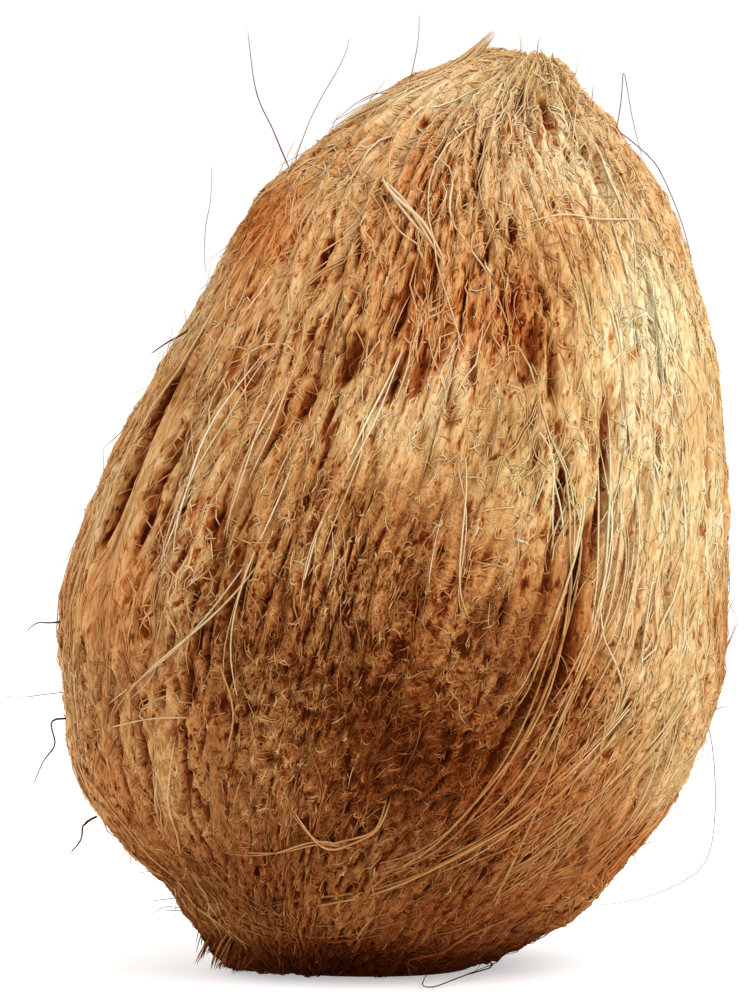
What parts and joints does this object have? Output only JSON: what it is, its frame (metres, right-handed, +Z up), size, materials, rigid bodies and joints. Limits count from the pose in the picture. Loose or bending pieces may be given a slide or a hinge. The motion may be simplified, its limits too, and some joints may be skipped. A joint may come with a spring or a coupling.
{
  "type": "coconut",
  "caption": "Whole semi-husked brown coconut, egg-shaped and covered in coir fibre, standing on its blunt end.",
  "frame": {"origin": "on the resting surface, under the middle of the bounding box", "axes": "+Z up towards the pointed crown, +X to the side that the crown leans to, -Y the front with the worn patch"},
  "size_m": [0.119, 0.115, 0.162],
  "materials": {
    "coir_husk": "dry matted plant fibre, matt"
  },
  "bodies": {
    "root": {"coconut": "coir_husk"}
  },
  "joints": []
}
